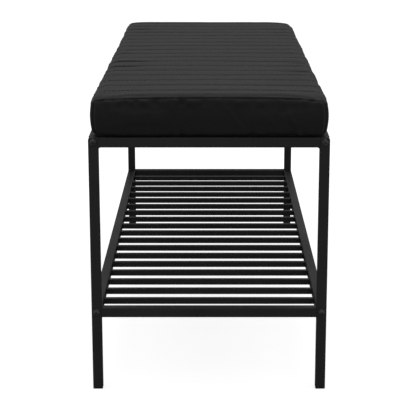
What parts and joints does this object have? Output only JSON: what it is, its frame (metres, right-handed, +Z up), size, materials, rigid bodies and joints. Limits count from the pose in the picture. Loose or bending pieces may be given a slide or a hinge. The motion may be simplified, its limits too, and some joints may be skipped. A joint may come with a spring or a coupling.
{
  "type": "entryway bench",
  "caption": "Long narrow entryway bench: black square-tube steel frame, slatted shoe shelf near the floor, and a loose fabric box cushion on top.",
  "frame": {"origin": "on the floor, under the middle of the bench", "axes": "+Z up, +Y along the bench's length, +X across it"},
  "size_m": [0.36, 0.956, 0.4604],
  "materials": {
    "frame_paint": "satin",
    "bolt_steel": "satin",
    "insert_steel": "satin",
    "cap_plastic": "matte",
    "cover_fabric": "matte",
    "foam": "matte"
  },
  "bodies": {
    "frame": {"far_left_foot_cap": "cap_plastic", "far_left_leg": "frame_paint", "far_right_foot_cap": "cap_plastic", "far_right_leg": "frame_paint", "far_shelf_rail": "frame_paint", "far_top_rail": "frame_paint", "left_seat_rail": "frame_paint", "left_shelf_rail": "frame_paint", "near_left_foot_cap": "cap_plastic", "near_left_leg": "frame_paint", "near_right_foot_cap": "cap_plastic", "near_right_leg": "frame_paint", "near_shelf_rail": "frame_paint", "near_top_rail": "frame_paint", "right_seat_rail": "frame_paint", "right_shelf_rail": "frame_paint", "seat_bolts": "bolt_steel", "seat_rail_inserts": "insert_steel", "seat_slat_01": "frame_paint", "seat_slat_02": "frame_paint", "seat_slat_03": "frame_paint", "seat_slat_04": "frame_paint", "seat_slat_05": "frame_paint", "seat_slat_06": "frame_paint", "seat_slat_07": "frame_paint", "seat_slat_08": "frame_paint", "seat_slat_09": "frame_paint", "seat_slat_10": "frame_paint", "seat_slat_11": "frame_paint", "seat_slat_12": "frame_paint", "seat_slat_13": "frame_paint", "seat_slat_14": "frame_paint", "seat_slat_15": "frame_paint", "seat_slat_16": "frame_paint", "seat_slat_17": "frame_paint", "seat_slat_18": "frame_paint", "shelf_bolts": "bolt_steel", "shelf_rail_inserts": "insert_steel", "shelf_slat_01": "frame_paint", "shelf_slat_02": "frame_paint", "shelf_slat_03": "frame_paint", "shelf_slat_04": "frame_paint", "shelf_slat_05": "frame_paint", "shelf_slat_06": "frame_paint", "shelf_slat_07": "frame_paint", "shelf_slat_08": "frame_paint", "shelf_slat_09": "frame_paint", "shelf_slat_10": "frame_paint", "shelf_slat_11": "frame_paint", "shelf_slat_12": "frame_paint", "shelf_slat_13": "frame_paint", "shelf_slat_14": "frame_paint", "shelf_slat_15": "frame_paint", "shelf_slat_16": "frame_paint", "shelf_slat_17": "frame_paint", "shelf_slat_18": "frame_paint"},
    "cushion": {"foam_core": "foam", "cushion_cover": "cover_fabric"}
  },
  "joints": [
    {"name": "cushion_lift", "type": "slide", "parent": "frame", "child": "cushion", "axis": [0, 0, 1], "range_m": [0, 0.2]}
  ]
}
